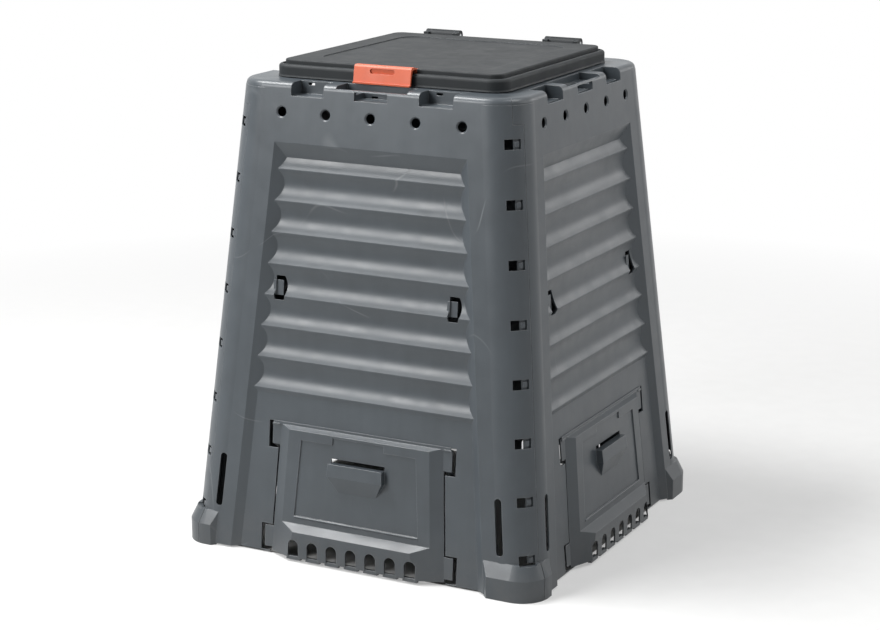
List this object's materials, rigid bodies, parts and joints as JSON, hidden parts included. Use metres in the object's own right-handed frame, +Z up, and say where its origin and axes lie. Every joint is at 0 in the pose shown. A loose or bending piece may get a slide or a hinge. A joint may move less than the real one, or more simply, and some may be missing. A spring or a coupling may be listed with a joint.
{
  "type": "compost bin",
  "caption": "Tapered square compost bin with interlocking wavy walls, vent holes, lift-off hooded doors low in each wall and a hinged lid with a bright latch.",
  "frame": {"origin": "on the ground under the middle of the bin", "axes": "+Z up, -Y towards the front wall where the latch is, +X towards the right wall"},
  "size_m": [0.8796, 0.8796, 1.07],
  "materials": {
    "wall_plastic": "matte",
    "lid_plastic": "satin",
    "latch_plastic": "satin",
    "pin_metal": "satin"
  },
  "bodies": {
    "bin": {"wall_front": "wall_plastic", "wall_right": "wall_plastic", "wall_back": "wall_plastic", "wall_left": "wall_plastic", "hinge_bracket_left": "lid_plastic", "hinge_bracket_right": "lid_plastic", "hinge_pin_left": "pin_metal", "hinge_pin_right": "pin_metal"},
    "lid": {"lid": "lid_plastic", "latch_pin": "pin_metal"},
    "latch": {"latch": "latch_plastic"},
    "door_front": {"door_front": "wall_plastic"},
    "door_right": {"door_right": "wall_plastic"},
    "door_back": {"door_back": "wall_plastic"},
    "door_left": {"door_left": "wall_plastic"}
  },
  "joints": [
    {"name": "lid_hinge", "type": "hinge", "parent": "bin", "child": "lid", "pos_m": [0, 0.2885, 1.058], "axis": [-1, 0, 0], "range_deg": [0, 105]},
    {"name": "latch_hinge", "type": "hinge", "parent": "lid", "child": "latch", "pos_m": [0, -0.254, 1.056], "axis": [-1, 0, 0], "range_deg": [0, 75]},
    {"name": "door_front_lift", "type": "slide", "parent": "bin", "child": "door_front", "axis": [0, -0.7961, 0.6052], "range_m": [0, 0.38]},
    {"name": "door_right_lift", "type": "slide", "parent": "bin", "child": "door_right", "axis": [0.7961, 0, 0.6052], "range_m": [0, 0.38]},
    {"name": "door_back_lift", "type": "slide", "parent": "bin", "child": "door_back", "axis": [0, 0.7961, 0.6052], "range_m": [0, 0.38]},
    {"name": "door_left_lift", "type": "slide", "parent": "bin", "child": "door_left", "axis": [-0.7961, 0, 0.6052], "range_m": [0, 0.38]}
  ]
}
